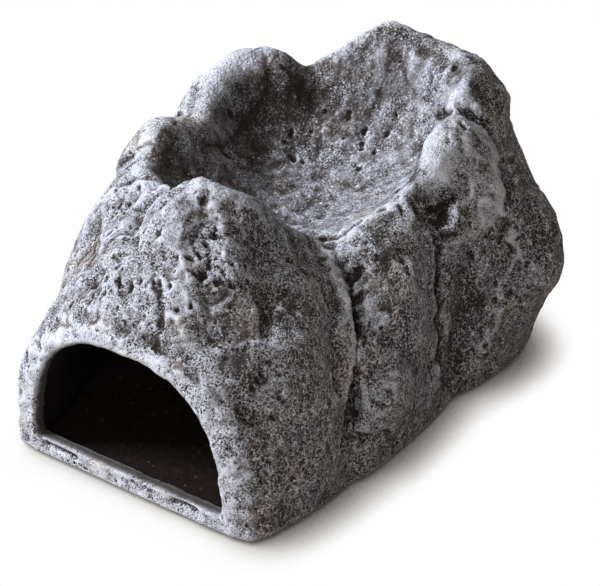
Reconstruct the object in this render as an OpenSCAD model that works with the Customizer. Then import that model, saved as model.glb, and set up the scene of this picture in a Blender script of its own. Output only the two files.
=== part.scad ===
// Resin cave ornament: a hollow cast rock with a D-shaped mouth and a basin on top.
// The mouth faces -Y, +Z is up, and the ground is at z = 0.

/* [Overall] */
// Length of the rock, from the mouth face to the back
rock_length = 206; // [170:1:250]
// Width of the rock at its widest
rock_width = 168; // [138:1:205]
// Height of the rock above the ground, at its back peak
rock_height = 128; // [106:1:154]

/* [Mouth] */
// Width of the mouth opening
mouth_w = 91; // [74:1:110]
// Height of the mouth opening above the sill
mouth_h = 56; // [44:1:68]
// Height of the sill above the ground
sill_h = 9.5; // [8:0.5:13]
// Sideways place of the mouth on its face
mouth_shift = -1.5; // [-3:0.5:3]
// Mean width of the rim bands beside the mouth, at the ground
jamb_w = 9.5; // [8:0.5:14]
// Width of the rim band above the mouth
crown_w = 12; // [9:0.5:16]
// Thickness of the front wall and of the sill
front_wall = 6; // [5:0.5:9]
// Squareness of the mouth's arch, where 2 is an ellipse
arch_power = 2.5; // [2:0.1:3.5]

/* [Basin] */
// Height of the basin's lowest point, in the table's rock
basin_floor_z = 72; // [66:1:84]
// Thickness of the basin's floor, over the cave
basin_wall = 8; // [5:0.5:12]
// Steepness of the basin's sides, where 2 is a parabola
basin_power = 2.1; // [1.6:0.1:3]

/* [Cave] */
// Thickness of the side walls where the rock is narrowest
side_wall = 10; // [8:0.5:16]
// Thickness of the back wall at the ground
back_wall = 14; // [10:0.5:22]
// Step from the mouth's edge out to the cave's wall
reveal = 1.5; // [1:0.5:3]

/* [Base] */
// Thickness of the base plate
plate_t = 4; // [3:0.5:6]
// Width of the ledge that the base plate is bonded to, at its sides and back
ledge_w = 4; // [3:0.5:5]
// Width of the same ledge in the front wall
front_ledge_w = 1.5; // [1:0.5:2]
// Gap round the base plate's edge
plate_gap = 0.6; // [0.3:0.1:1]
// Thickness of the bond between the base plate and the ledge
bond_t = 0.8; // [0.4:0.1:1.5]
// Diameter of a foot pad
pad_d = 16; // [12:1:20]
// Thickness of a foot pad
pad_t = 2; // [1.6:0.1:3]
// Depth of the recess that a foot pad sits in
pad_recess = 0.8; // [0.5:0.1:1.2]
// Gap round a foot pad in its recess
pad_gap = 0.3; // [0.1:0.1:0.6]
// Distance from the cave's wall to a foot pad's middle
pad_inset = 16; // [13:1:24]

/* [Hidden] */

// Stations round the basin's middle, counter-clockwise from above, in a rock of the
// table's own size. Each row has a bearing from +X, the foot's radius, and then a radius
// and a height for the waist, the shoulder and the rim.
STATIONS = [
    [-90, 132, 132, 38, 110, 82, 60, 114],
    [-76, 132, 131, 38, 109, 79, 54, 107],
    [-64, 128, 125, 42, 102, 75, 47, 95],
    [-52, 107, 106, 42, 86, 75, 42, 86],
    [-42, 93, 92, 42, 71, 72, 41, 81],
    [-22, 78, 79, 42, 65, 76, 45, 87],
    [5, 72, 73, 42, 63, 80, 46, 90],
    [20, 79, 84, 45, 75, 84, 56, 99],
    [38, 97, 113, 48, 93, 86, 64, 112],
    [50, 101, 110, 49, 98, 92, 72, 117],
    [63, 99, 104, 48, 100, 98, 81, 120],
    [78, 93, 97, 46, 96, 97, 79, 120],
    [93, 91, 93, 45, 92, 98, 76, 128],
    [120, 90, 92, 45, 86, 88, 70, 106],
    [133, 92, 93, 45, 88, 94, 69, 113],
    [150, 86, 88, 45, 84, 90, 69, 107],
    [168, 79, 83, 45, 75, 82, 58, 99],
    [178, 77, 82, 45, 73, 82, 54, 97],
    [194, 78, 83, 45, 74, 87, 57, 104],
    [212, 84, 86, 45, 78, 82, 62, 97],
    [229, 96, 98, 50, 88, 80, 63, 101],
    [238, 118, 112, 40, 92, 73, 61, 101],
    [246, 131, 129, 42, 102, 75, 60, 105],
    [262, 132, 132, 38, 110, 82, 60, 116],
];
// Columns of a station's row
FOOT = 1;
WAIST = 2;
SHOULDER = 4;
RIM = 6;
// Clefts down the outside: bearing at the foot and at the rim, half width and depth
CLEFTS = [
    [-41, -45, 3.5, 6],
    [12, 28, 5, 7],
    [31, 54, 5, 4],
    [104, 108, 5, 5],
    [146, 152, 5, 5],
    [176, 178, 5, 5],
    [205, 212, 5, 4],
];
// Share of a cleft's depth at the foot, and where it starts to run out below the rim
CLEFT_AT_FOOT = 0.3;
CLEFT_TOP = 2.5;
// The table's own sizes: the mouth face's distance, half width and height
TABLE_REACH = 115;
TABLE_SNOUT_HALF = 55;
TABLE_SNOUT_TOP = 79;
// Height of the table's rim where it has neither a peak nor a notch, and how soon inside
// the rim a peak or a notch fades out
TABLE_LIP = 100;
PEAK_POWER = 5;
// Places on the basin's side, as shares of the rim's radius
BOWL_OUTER = 0.72;
BOWL_INNER = 0.36;
// How far from the mouth face's edges the corner is eased
EDGE_EASE = 5;
// Facets round the rock, spans of a station's profile, and facets along each span
COLUMNS = 108;
SPANS = 6;
SPAN_STEPS = 4;
ROWS = SPANS * SPAN_STEPS;
// The span that ends at the rim
RIM_SPAN = 3;

// Facets of the cave along its length and round its arch
CAVE_STEPS = 24;
ARCH_STEPS = 24;
// Lengths over which the cave widens behind the mouth and closes at the back
CAVE_FLARE = 60;
CAVE_ROUND = 70;
// Length cut off the cave's closing tip, and the tip's share of the cave's height
CAVE_BLUNT = 0.6;
CAVE_END_HEIGHT = 0.4;
// Length over which the ledge goes over from its front width to its full width
LEDGE_RUN = 30;
// How far a cutting shape runs past the face that it cuts
CUT = 1;

foot_z = pad_t - pad_recess;

function ease(t) = let (u = max(0, min(1, t))) u * u * (3 - 2 * u);
function mix(a, b, t) = a + (b - a) * t;
function sum(v) = v * [for (x = v) 1];
function soft_min(a, b, k) = let (h = max(k - abs(a - b), 0) / k) min(a, b) - h * h * k / 4;

// Cubic from b to c, with a and d as their neighbours
function cubic(a, b, c, d, t) =
    b + 0.5 * t * (c - a + t * (2 * a - 5 * b + 4 * c - d + t * (3 * (b - c) + d - a)));

// Station k, counted on round the rock, and how fast its row changes with bearing
function station(k) =
    let (turn = floor(k / len(STATIONS)), row = STATIONS[k - turn * len(STATIONS)])
    [for (i = [0:len(row) - 1]) row[i] + (i == 0 ? 360 * turn : 0)];
function station_slope(k) =
    (station(k + 1) - station(k - 1)) / (station(k + 1)[0] - station(k - 1)[0]);

// The station row at any bearing from -90 to 270
function row_at(bearing) =
    let (
        k = max([for (i = [0:len(STATIONS) - 1]) if (STATIONS[i][0] <= bearing) i]),
        a = station(k),
        b = station(k + 1),
        gap = b[0] - a[0],
        t = (bearing - a[0]) / gap,
        u = 1 - t
    )
    u * u * (1 + 2 * t) * a + t * t * (3 - 2 * t) * b
        + gap * t * u * (u * station_slope(k) - t * station_slope(k + 1));

// Radius and height at one place of a station's row
function at(row, column) = [row[column], row[column + 1]];

// Point of the basin's side, from u = 1 at the rim to 0 at the middle
function bowl(row, u) =
    let (lip = mix(basin_floor_z, TABLE_LIP, pow(abs(u), basin_power)))
    [row[RIM] * u, lip + (row[RIM + 1] - TABLE_LIP) * pow(abs(u), PEAK_POWER)];

// A station's profile: foot, waist, shoulder, rim and basin, with a point past each end
function profile(row) = [
    [row[FOOT], -row[WAIST + 1]],
    [row[FOOT], foot_z],
    at(row, WAIST),
    at(row, SHOULDER),
    at(row, RIM),
    bowl(row, BOWL_OUTER),
    bowl(row, BOWL_INNER),
    bowl(row, 0),
    bowl(row, -BOWL_INNER),
];

// Depth of the clefts at a bearing, s being 0 at the foot and RIM_SPAN at the rim
function cleft_depth(bearing, s) =
    mix(CLEFT_AT_FOOT, 1, ease(s)) * (1 - ease(s - CLEFT_TOP)) * sum([
        for (c = CLEFTS)
            c[3] * exp(-pow((bearing - mix(c[0], c[1], s / RIM_SPAN)) / c[2], 2))
    ]);

// Point of the skin in the table's size, held back to the plane of the mouth face
function table_point(bearing, s) =
    let (
        k = min(floor(s), SPANS - 1),
        p = profile(row_at(bearing)),
        rz = cubic(p[k], p[k + 1], p[k + 2], p[k + 3], s - k),
        r = rz[0] - cleft_depth(bearing, s),
        held = sin(bearing) < -0.5 ? soft_min(r, -TABLE_REACH / sin(bearing), EDGE_EASE) : r
    )
    [held * cos(bearing), held * sin(bearing), rz[1]];

table_skin = [
    for (j = [0:ROWS], i = [0:COLUMNS - 1])
        table_point(-90 + 360 * i / COLUMNS, j / SPAN_STEPS)
];

function axis_of(points, k) = [for (p = points) p[k]];
function span_of(points, k) = max(axis_of(points, k)) - min(axis_of(points, k));
function middle_of(points, k) = (max(axis_of(points, k)) + min(axis_of(points, k))) / 2;

// The table's rock brought to the sizes set above: the snout follows the mouth, and the
// rest follows the overall sizes
width_scale = rock_width / span_of(table_skin, 0);
length_scale = rock_length / span_of(table_skin, 1);
height_scale = (rock_height - foot_z) / (max(axis_of(table_skin, 2)) - foot_z);
snout_width_scale = (mouth_w / 2 + jamb_w) / TABLE_SNOUT_HALF;
snout_height_scale = (sill_h + mouth_h + crown_w) / TABLE_SNOUT_TOP;
function placed(p) =
    let (t = ease((p[1] + TABLE_REACH) / TABLE_REACH))
    [
        p[0] * mix(snout_width_scale, width_scale, t),
        p[1] * length_scale,
        foot_z + (p[2] - foot_z) * mix(snout_height_scale, height_scale, t),
    ];
placed_skin = [for (p = table_skin) placed(p)];
snout_x = -middle_of(placed_skin, 0);
pole_y = -middle_of(placed_skin, 1);
skin = [for (p = placed_skin) p + [snout_x, pole_y, 0]];
basin_z = skin[COLUMNS * ROWS][2];
face_y = -rock_length / 2;
mouth_x = snout_x + mouth_shift;

// Triangles between rings of n points each, each ring closed on itself
function loft_faces(n, rings) = [
    for (j = [0:rings - 2], i = [0:n - 1], upper = [0, 1])
        let (a = j * n + i, b = j * n + (i + 1) % n)
        upper == 0 ? [a, a + n, b] : [b, a + n, b + n]
];

// Solid rock, before the cave is taken out of it
module rock() {
    n = COLUMNS;
    body = [for (k = [0:n * ROWS - 1]) skin[k]];
    top_ring = n * (ROWS - 1);
    foot_middle = n * ROWS;
    basin_middle = foot_middle + 1;
    points = concat(body, [[snout_x, pole_y, foot_z], skin[n * ROWS]]);
    faces = concat(
        loft_faces(n, ROWS),
        [for (i = [0:n - 1]) [foot_middle, i, (i + 1) % n]],
        [for (i = [0:n - 1]) [basin_middle, top_ring + (i + 1) % n, top_ring + i]]
    );
    polyhedron(points, faces, convexity = 6);
}

// The cave, from the front wall to the back wall. Places along it are distances behind
// the mouth face. Its width leaves the side wall where the rock is narrowest, from the
// foot to the waist.
cave_end = rock_length - back_wall;
cave_tip = cave_end - CAVE_BLUNT;
cave_room = min([
    for (k = [0:COLUMNS * SPAN_STEPS])
        let (p = skin[k], d = p[1] - face_y)
        if (d > front_wall + CAVE_FLARE && d < cave_end - CAVE_ROUND) abs(p[0] - mouth_x)
]);
function cave_place(i) = mix(front_wall, cave_tip, sin(90 * i / CAVE_STEPS));
function cave_closing(d) =
    let (u = max(0, (d - cave_end + CAVE_ROUND) / CAVE_ROUND))
    pow(1 - pow(u, arch_power), 1 / arch_power);
function cave_flare(d) = ease((d - front_wall) / CAVE_FLARE);
function cave_half(d) =
    cave_closing(d) * mix(mouth_w / 2 + reveal, cave_room - side_wall, cave_flare(d));
function cave_top(d) =
    mix(CAVE_END_HEIGHT, 1, cave_closing(d))
        * mix(sill_h + mouth_h + reveal, basin_z - basin_wall, cave_flare(d));

// Arch of a half width and a height, standing on y = 0, from its left foot to its right
function arch(half, height) = [
    for (i = [0:ARCH_STEPS])
        let (a = 180 * i / ARCH_STEPS, c = -cos(a), k = 2 / arch_power)
        [sign(c) * pow(abs(c), k) * half, pow(sin(a), k) * height]
];

// Section of the cave: the mouth's arch on two straight legs that go below the foot
function cave_section(d) =
    let (half = cave_half(d), top = cave_top(d))
    concat(
        [[-half, -CUT]],
        [for (p = arch(half, top - sill_h)) p + [0, sill_h]],
        [[half, -CUT]]
    );

module cave() {
    n = ARCH_STEPS + 3;
    last_ring = n * CAVE_STEPS;
    points = [
        for (i = [0:CAVE_STEPS], p = cave_section(cave_place(i)))
            [mouth_x + p[0], face_y + cave_place(i), p[1]]
    ];
    faces = concat(
        loft_faces(n, CAVE_STEPS + 1),
        [[for (i = [0:n - 1]) i]],
        [[for (i = [n - 1:-1:0]) last_ring + i]]
    );
    polyhedron(points, faces, convexity = 4);
}

module mouth() {
    translate([mouth_x, face_y + front_wall + CUT, sill_h])
        rotate([90, 0, 0])
            linear_extrude(front_wall + 2 * CUT)
                polygon(arch(mouth_w / 2, mouth_h));
}

// Plan of the cave's foot, grown by a ledge and drawn in by a gap all round
module cave_plan(front_ledge, ledge, gap) {
    side = [
        for (i = [0:CAVE_STEPS])
            let (d = cave_place(i), run = d - front_wall)
            [
                cave_half(d) + mix(front_ledge, ledge, ease(run / LEDGE_RUN)) - gap,
                d + mix(gap - front_ledge, ledge - gap, run / (cave_tip - front_wall)),
            ]
    ];
    translate([mouth_x, face_y])
        polygon(concat(side, [for (i = [CAVE_STEPS:-1:0]) [-side[i][0], side[i][1]]]));
}

// Places of the foot pads under the base plate
pad_front = front_wall + pad_inset + pad_d / 2;
pad_back = cave_end - 2 * pad_inset;
function pad_place(side, d) = [mouth_x + side * (cave_half(d) - pad_inset), face_y + d, 0];

module rock_shell() {
    color("dimgray") difference() {
        rock();
        cave();
        mouth();
        translate([0, 0, foot_z - CUT])
            linear_extrude(CUT + plate_t + bond_t)
                cave_plan(front_ledge_w, ledge_w, 0);
    }
}

module base_plate() {
    color("darkslategray") difference() {
        translate([0, 0, foot_z])
            linear_extrude(plate_t)
                cave_plan(front_ledge_w, ledge_w, plate_gap);
        for (side = [-1, 1], d = [pad_front, pad_back])
            translate(pad_place(side, d) + [0, 0, foot_z - CUT])
                cylinder(d = pad_d + 2 * pad_gap, h = CUT + pad_recess);
    }
}

module bond_bead() {
    color("tan")
        translate([0, 0, foot_z + plate_t])
            linear_extrude(bond_t) difference() {
                cave_plan(front_ledge_w, ledge_w, plate_gap);
                cave_plan(0, 0, 0);
            }
}

module foot_pad(side, d) {
    color("black")
        translate(pad_place(side, d))
            cylinder(d = pad_d, h = pad_t);
}

rock_shell();
base_plate();
bond_bead();
foot_pad(-1, pad_front);  // foot_pad_front_left
foot_pad(1, pad_front);  // foot_pad_front_right
foot_pad(-1, pad_back);  // foot_pad_back_left
foot_pad(1, pad_back);  // foot_pad_back_right
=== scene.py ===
"""A cast-resin cave rock: its painted skin, base plate, bond and foot pads, on a pale floor."""

from math import radians

import bmesh
import bpy
import numpy as np
from mathutils import Euler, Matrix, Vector, noise
from mathutils.bvhtree import BVHTree
from mathutils.kdtree import KDTree


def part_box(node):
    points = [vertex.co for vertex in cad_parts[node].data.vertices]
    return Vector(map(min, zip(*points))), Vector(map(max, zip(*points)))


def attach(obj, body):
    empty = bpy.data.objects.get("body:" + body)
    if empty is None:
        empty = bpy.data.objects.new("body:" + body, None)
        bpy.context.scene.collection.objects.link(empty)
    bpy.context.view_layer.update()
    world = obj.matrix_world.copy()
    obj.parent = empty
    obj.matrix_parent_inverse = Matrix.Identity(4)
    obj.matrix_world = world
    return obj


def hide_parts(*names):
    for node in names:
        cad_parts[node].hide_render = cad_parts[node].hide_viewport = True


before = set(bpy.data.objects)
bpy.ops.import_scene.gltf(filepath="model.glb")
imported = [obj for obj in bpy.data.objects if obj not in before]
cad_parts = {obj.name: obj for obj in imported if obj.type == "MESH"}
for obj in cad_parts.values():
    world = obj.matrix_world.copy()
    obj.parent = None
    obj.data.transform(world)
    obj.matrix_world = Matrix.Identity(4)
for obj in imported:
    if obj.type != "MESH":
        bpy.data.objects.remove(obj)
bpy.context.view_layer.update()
MM = 0.001

# Places that the frame gives, in millimetres
ROCK_LOW = np.array(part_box("rock_shell")[0]) / MM
PLATE_LOW, PLATE_HIGH = (np.array(corner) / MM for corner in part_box("base_plate"))
FACE_Y = ROCK_LOW[1]
FOOT_Z = ROCK_LOW[2]
MOUTH_X = (PLATE_LOW[0] + PLATE_HIGH[0]) / 2

# Camera, fitted to the base edges, the mouth and the peaks
PHOTO_WIDTH = 600
PHOTO_HEIGHT = 586
SENSOR = 36
LENS = 157.3
FOCAL = LENS / SENSOR * PHOTO_WIDTH
CAMERA_PLACE = Vector((0.51984, -0.72780, 0.63272))
CAMERA_TURN = Euler((radians(56.5), 0, radians(35.247)))

# Mesh of the rock's skin, and what its noise and random draws start from
VOXEL = 1.0
FACET_ROUNDS = 3
MOST_TRIANGLES = 190000
WELD = 0.001 * MM
SEED = 7
TINY = 1e-6
EVEN = (1, 1, 1)
FRACTAL_FALL = 1.0
FRACTAL_STEP = 2.0
HARD_CREASES = True


def add_object(name, data):
    """A new object in the scene."""
    made = bpy.data.objects.new(name, data)
    bpy.context.scene.collection.objects.link(made)
    return made


def smoothstep(low, high, value):
    """A smooth step from 0 to 1 as the value goes from low to high."""
    t = np.clip((value - low) / (high - low), 0, 1)
    return t * t * (3 - 2 * t)


def read(items, name, width, kind=float):
    """One property of all of a mesh's items, as an array."""
    values = np.empty(len(items) * width, kind)
    items.foreach_get(name, values)
    return values.reshape(-1, width) if width > 1 else values


def to_pixels(points):
    """Where points in millimetres show in the photograph."""
    seen = (points - np.array(CAMERA_PLACE) / MM) @ np.array(CAMERA_TURN.to_matrix())
    scale = FOCAL / -seen[:, 2]
    across = PHOTO_WIDTH / 2 + scale * seen[:, 0]
    down = PHOTO_HEIGHT / 2 - scale * seen[:, 1]
    return np.stack([across, down], axis=1)


# How strongly a mark holds along its line
HOLD_MEAN = 0.85
HOLD_SWING = 0.9
HOLD_RANGE = (0.15, 1.3)


class Skin:
    """A fine mesh whose points are raised, cut and smoothed, in millimetres."""

    def __init__(self, mesh):
        self.mesh = mesh
        self.points = read(mesh.vertices, "co", 3) / MM
        self.pixels = to_pixels(self.points)
        self.ends = read(mesh.edges, "vertices", 2, np.int32).T
        self.links = np.maximum(1, np.bincount(self.ends.ravel(), minlength=len(self.points)))
        self.bare = BVHTree.FromPolygons(
            [Vector(p) for p in self.points], [tuple(f.vertices) for f in mesh.polygons]
        )

    def work_on(self, share):
        """Choose the points where noise is worked out, and make the noise that frays the marks."""
        self.worked = np.flatnonzero(share > 0)
        self.wobble = self.cloud(size=6, octaves=3, shift=20)
        patchy = self.cloud(size=13, octaves=2, shift=50)
        self.hold = np.clip(HOLD_MEAN + HOLD_SWING * patchy, *HOLD_RANGE)

    def normals(self):
        self.write()
        return read(self.mesh.vertex_normals, "vector", 3)

    def write(self):
        """Put the points back in the mesh, in metres."""
        self.mesh.vertices.foreach_set("co", (self.points * MM).astype(np.float32).ravel())
        self.mesh.update()

    def raise_by(self, height):
        self.points = self.points + self.normals() * height[:, None]

    def blur(self, field, rounds):
        """A field with each value drawn halfway to its neighbours' mean, some rounds over."""
        a, b = self.ends
        count = len(self.points)
        columns = np.atleast_2d(field.T)
        for _ in range(rounds):
            near = [np.bincount(a, c[b], count) + np.bincount(b, c[a], count) for c in columns]
            columns = (columns + np.array(near) / self.links) / 2
        return columns.T.reshape(field.shape)

    def hollow(self, rounds):
        """How far each point lies below the mean surface round it, with bumps negative."""
        return ((self.blur(self.points, rounds) - self.points) * self.normals()).sum(axis=1)

    def at_pixel(self, px, py):
        """The place on the bare skin that shows at a pixel of the photograph."""
        across = (px - PHOTO_WIDTH / 2) / FOCAL
        up = (PHOTO_HEIGHT / 2 - py) / FOCAL
        ray = CAMERA_TURN.to_matrix() @ Vector((across, up, -1))
        return self.bare.ray_cast(CAMERA_PLACE / MM, ray)[0]

    def path(self, pixels, stride=6):
        """Places on the bare skin along a line of pixels, a stride of pixels apart."""
        line = []
        for (x0, y0), (x1, y1) in zip(pixels, pixels[1:]):
            count = max(1, round(max(abs(x1 - x0), abs(y1 - y0)) / stride))
            line += [(x0 + (x1 - x0) * i / count, y0 + (y1 - y0) * i / count) for i in range(count)]
        hits = [self.at_pixel(*pixel) for pixel in line + [pixels[-1]]]
        return np.array([hit for hit in hits if hit is not None])

    def near(self, pixels, width):
        """The points within a width of a line of pixels: which they are, how far from the line,
        and how far in from its nearer end."""
        path = self.path(pixels)
        inside = (self.points > path.min(axis=0) - width) & (self.points < path.max(axis=0) + width)
        index = np.flatnonzero(inside.all(axis=1))
        points = self.points[index]
        gap = np.linalg.norm(points - path[0], axis=1)
        along = np.zeros(len(index))
        run = 0
        for a, b in zip(path, path[1:]):
            length = max(np.linalg.norm(b - a), TINY)
            t = np.clip((points - a) @ (b - a) / length ** 2, 0, 1)
            here = np.linalg.norm(points - a - t[:, None] * (b - a), axis=1)
            nearer = here < gap
            along[nearer] = run + t[nearer] * length
            gap[nearer] = here[nearer]
            run += length
        return index, gap, np.minimum(along, run - along)

    def right_of(self, pixels, index):
        """1 for points on the right of a line of pixels, walking along it, and -1 on its left."""
        spots = self.pixels[index]
        best = np.full(len(index), np.inf)
        side = np.zeros(len(index))
        for a, b in zip(np.array(pixels, float), np.array(pixels[1:], float)):
            offset = spots - a
            t = np.clip(offset @ (b - a) / ((b - a) @ (b - a)), 0, 1)
            here = np.linalg.norm(offset - t[:, None] * (b - a), axis=1)
            turn = (b - a)[0] * offset[:, 1] - (b - a)[1] * offset[:, 0]
            nearer = here < best
            side[nearer] = np.sign(turn[nearer])
            best[nearer] = here[nearer]
        return side

    def noise_field(self, value, size, stretch, shift):
        """A noise function's values at the worked points, and 0 at the others."""
        places = self.points[self.worked] / size / np.array(stretch) + shift
        field = np.zeros(len(self.points))
        field[self.worked] = [value(Vector(p)) for p in places]
        return field

    def cloud(self, size, octaves, stretch=EVEN, shift=0):
        """Fractal noise with features of a size, from about -1 to 1."""
        return self.noise_field(
            lambda p: noise.fractal(p, FRACTAL_FALL, FRACTAL_STEP, octaves), size, stretch, shift
        )

    def lobes(self, size, octaves, stretch=EVEN, shift=0):
        """Round lumps of a size with sharp creases between them, about 0 on the mean."""
        field = self.noise_field(
            lambda p: noise.turbulence(p, octaves, HARD_CREASES), size, stretch, shift
        )
        field[self.worked] -= field[self.worked].mean()
        return field

    def store(self, name, field):
        """Keep a field in the mesh for a finish to read."""
        attribute = self.mesh.attributes.new(name, "FLOAT", "POINT")
        attribute.data.foreach_set("value", field.astype(np.float32))


def modified(mesh, *modifiers):
    """A copy of a mesh with modifiers applied, each a name and its settings."""
    holder = add_object("holder", mesh)
    for kind, settings in modifiers:
        modifier = holder.modifiers.new(kind, kind)
        for name, value in settings.items():
            setattr(modifier, name, value)
    depsgraph = bpy.context.evaluated_depsgraph_get()
    ready = holder.evaluated_get(depsgraph)
    made = bpy.data.meshes.new_from_object(ready, preserve_all_data_layers=True, depsgraph=depsgraph)
    bpy.data.objects.remove(holder)
    return made


def fine_copy(node, voxel, rounds):
    """An even, fine mesh of a CAD node, with its facets smoothed."""
    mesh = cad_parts[node].data.copy()
    mesh.materials.clear()
    build = bmesh.new()
    build.from_mesh(mesh)
    bmesh.ops.remove_doubles(build, verts=build.verts, dist=WELD)
    build.to_mesh(mesh)
    build.free()
    remesh = {"mode": "VOXEL", "voxel_size": voxel * MM, "use_smooth_shade": True}
    smooth = {"factor": 0.5, "iterations": rounds}
    return modified(mesh, ("REMESH", remesh), ("SMOOTH", smooth))


# Profiles of the marks: lengths in millimetres, shares of a mark's width, and a power
SWELL_POWER = 0.8
CREST_OVERRUN = 1
CUT_FRAY = 1.6
CUT_FRAY_SHARE = 0.6
CUT_FLOOR_SHARE = 0.3
CUT_MARGIN = 2
STEP_FRAY = 1.6
STEP_FALL = 2.0
STEP_FLOOR_SHARE = 0.2
STEP_END_SHARE = 0.5
BRUSH_FRAY = 2
BRUSH_MARGIN = 3


# How high a mark stands at a distance from its line, for a mark of height 1
def swell(skin, pixels, width):
    """A mass with a round top and a crease at its foot."""
    index, gap, _ = skin.near(pixels, width)
    return index, np.clip(1 - (gap / width) ** 2, 0, 1) ** SWELL_POWER


def crest(skin, pixels, width):
    """A sharp edge."""
    index, gap, inset = skin.near(pixels, width)
    return index, np.clip(1 - gap / width, 0, 1) * smoothstep(-CREST_OVERRUN, width, inset)


def cut(skin, pixels, width):
    """A ragged slot with steep walls."""
    index, gap, _ = skin.near(pixels, width + CUT_MARGIN)
    ragged = gap + skin.wobble[index] * min(CUT_FRAY, CUT_FRAY_SHARE * width)
    return index, (1 - smoothstep(CUT_FLOOR_SHARE * width, width, ragged)) * skin.hold[index]


def step(skin, pixels, width):
    """A cliff down on the right of the line, whose floor climbs back over a width."""
    index, gap, inset = skin.near(pixels, width)
    beyond = gap * skin.right_of(pixels, index) + STEP_FRAY * skin.wobble[index]
    climb = smoothstep(STEP_FLOOR_SHARE * width, width, beyond)
    fall = smoothstep(0, STEP_FALL, beyond) * (1 - climb)
    return index, fall * smoothstep(0, STEP_END_SHARE * width, inset) * skin.hold[index]


def brush(skin, pixels, width):
    """A soft mark."""
    index, gap, _ = skin.near(pixels, width + BRUSH_MARGIN)
    return index, 1 - smoothstep(0, width, gap + BRUSH_FRAY * skin.wobble[index])


def marks(skin, lines):
    """All the marks of a list, summed."""
    height = np.zeros(len(skin.points))
    for shape, pixels, width, tall in lines:
        index, share = shape(skin, pixels, width)
        height[index] += tall * share
    return height


# Forms of the rock: each is a mark along pixels of the photograph, with its width and height in
# millimetres. First left lobe: its crest, the valley behind it, the sunken patch down its left
FIRST_LOBE = [
    (step, [(170, 188), (153, 181), (140, 179), (115, 187), (96, 203)], 9, -3),
    (crest, [(168, 191), (153, 184), (140, 182), (115, 190), (98, 205)], 6, 0.6),
    (swell, [(93, 234), (91, 262), (92, 292)], 6, -1.3),
    (cut, [(97, 268), (95, 296)], 2.2, -0.9),
    (cut, [(92, 288), (85, 313)], 1.6, -0.8),
    (swell, [(112, 225), (112, 270)], 8, 0.9),
]

# Front peak, the valley between it and the lobe, and the furrows and lumps down its front
FRONT_PEAK = [
    (swell, [(214, 192), (226, 198), (240, 203), (256, 211)], 11, 3),
    (step, [(262, 213), (245, 205), (230, 199), (215, 192), (203, 184), (193, 183), (170, 189),
            (150, 199)], 7, -1.5),
    (crest, [(260, 214), (245, 206), (230, 200), (215, 193), (204, 185), (193, 184), (170, 190),
             (145, 206)], 7, 1),
    (cut, [(153, 195), (138, 203), (133, 213), (132, 235)], 4, -1.6),
    (swell, [(134, 215), (134, 250)], 7, -1.2),
    (step, [(193, 184), (170, 189), (150, 199), (136, 210), (131, 232)], 10, -3),
    (swell, [(172, 222), (172, 252)], 9, 0.8),
    (cut, [(207, 196), (204, 225), (203, 250)], 2.6, -1),
    (swell, [(204, 225), (200, 270), (198, 305), (204, 335)], 7, -1.2),
    (swell, [(186, 265), (186, 312)], 6, 1.3),
    (cut, [(157, 284), (160, 305), (162, 328)], 3.2, -1.8),
    (swell, [(148, 286), (148, 300)], 4, 1.1),
    (swell, [(137, 309)], 4, 1),
    (swell, [(177, 316)], 4, 0.7),
    (swell, [(222, 230), (226, 262)], 8, 1),
    (swell, [(228, 300), (232, 330)], 8, 1),
    (swell, [(215, 285), (214, 320)], 4, -1),
]

# Ridge between the front and the right flank, and the hollows and low masses beside it
RIDGE = [
    (crest, [(249, 208), (243, 230), (244, 247), (248, 277), (250, 297)], 6, 1.2),
    (swell, [(258, 244), (259, 258)], 9, -1.8),
    (crest, [(250, 288), (253, 308), (256, 327), (260, 347)], 4, 1.2),
    (step, [(262, 350), (258, 330), (255, 308), (252, 290)], 14, -2.1),
    (crest, [(280, 227), (285, 240), (290, 256)], 3, 0.5),
    (swell, [(297, 246), (303, 254)], 6, -1.2),
    (cut, [(270, 292), (268, 318), (264, 342)], 4, -0.9),
    (swell, [(300, 340), (310, 400)], 16, 0.9),
    (swell, [(262, 390), (258, 450)], 9, -0.9),
    (swell, [(285, 430), (280, 490)], 8, 0.7),
]

# Main cleft: the edge of the front mass along it, and the slots in it
MAIN_CLEFT = [
    (step, [(348, 440), (349, 400), (353, 367), (355, 333), (352, 313), (348, 300), (342, 278),
            (337, 265), (327, 252), (312, 240)], 14, -4.5),
    (cut, [(342, 269), (351, 272), (361, 268)], 3.4, -4),
    (cut, [(349, 279), (353, 290)], 2.4, -2.5),
    (cut, [(360, 294), (361, 312), (364, 330)], 3.2, -4.5),
    (cut, [(361, 340), (360, 362)], 1.6, -2),
    (cut, [(354, 368), (353, 390)], 1.6, -2),
    (cut, [(358, 396), (354, 418), (356, 436), (366, 444)], 4.5, -4.5),
]

# Pillar between the clefts: the edge along its top, the crack behind that, its swellings
PILLAR = [
    (crest, [(334, 262), (342, 243), (362, 226), (386, 213), (416, 203)], 4.5, 1.4),
    (cut, [(322, 237), (350, 230), (363, 220), (384, 209)], 1.6, -2),
    (swell, [(382, 232), (384, 258)], 9, -2),
    (swell, [(404, 284), (412, 325)], 11, 2),
    (swell, [(402, 348), (412, 362)], 6, -1.8),
    (swell, [(395, 385), (390, 420)], 10, 1.5),
    (swell, [(396, 250), (402, 310), (396, 390)], 17, 3),
    (step, [(426, 385), (433, 350), (436, 310), (437, 270), (434, 245), (424, 216),
            (418, 206)], 16, -4.5),
]

# Second cleft, the cavity at its top and the recess at its foot
SECOND_CLEFT = [
    (cut, [(422, 200), (436, 205), (450, 208)], 5, -5),
    (cut, [(430, 208), (448, 217)], 5, -4),
    (cut, [(444, 254), (446, 285), (445, 310), (447, 345), (448, 388)], 3.6, -3.5),
    (swell, [(460, 280), (464, 320), (460, 345)], 16, -4),
]

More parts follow.
